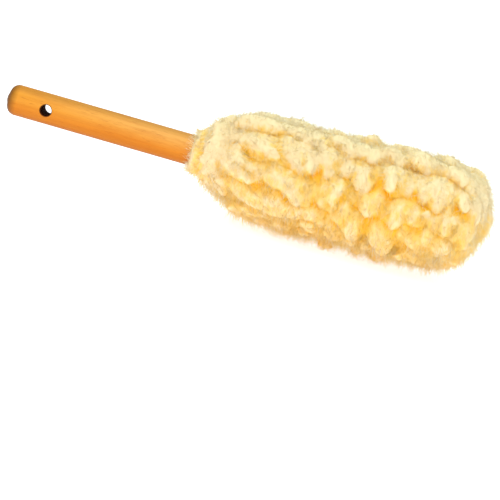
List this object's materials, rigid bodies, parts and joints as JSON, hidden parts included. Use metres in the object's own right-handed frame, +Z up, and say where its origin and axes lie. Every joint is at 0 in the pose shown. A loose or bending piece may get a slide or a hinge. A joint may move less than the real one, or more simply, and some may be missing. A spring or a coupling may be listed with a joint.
{
  "type": "wheel brush",
  "caption": "Wool wheel brush: a varnished hardwood dowel handle with a hanging hole and a thick long-pile head, for washing car wheels by hand.",
  "frame": {"origin": "bottom centre of the brush's box: Z = 0 is the surface that the wool head lies on, and X = Y = 0 is the middle of its length and width", "axes": "+X along the handle from the butt to the tip of the head, +Y along the hanging hole, +Z up"},
  "size_m": [0.406, 0.098, 0.0981],
  "materials": {
    "varnished_wood": "satin",
    "foam": "matte",
    "felt": "matte",
    "hide": "matte",
    "thread": "matte",
    "tack_steel": "satin",
    "wool": "matte"
  },
  "bodies": {
    "root": {"handle": "varnished_wood", "core_sleeve": "foam", "tip_pad": "felt", "hide_sleeve": "hide", "hide_tip_cap": "hide", "side_seam_thread": "thread", "tip_seam_thread": "thread", "neck_tacks": "tack_steel", "wool_neck": "wool", "wool_row_01": "wool", "wool_row_02": "wool", "wool_row_03": "wool", "wool_row_04": "wool", "wool_row_05": "wool", "wool_row_06": "wool", "wool_row_07": "wool", "wool_row_08": "wool", "wool_row_09": "wool", "wool_row_10": "wool", "wool_row_11": "wool", "wool_row_12": "wool", "wool_tip": "wool"}
  },
  "joints": []
}
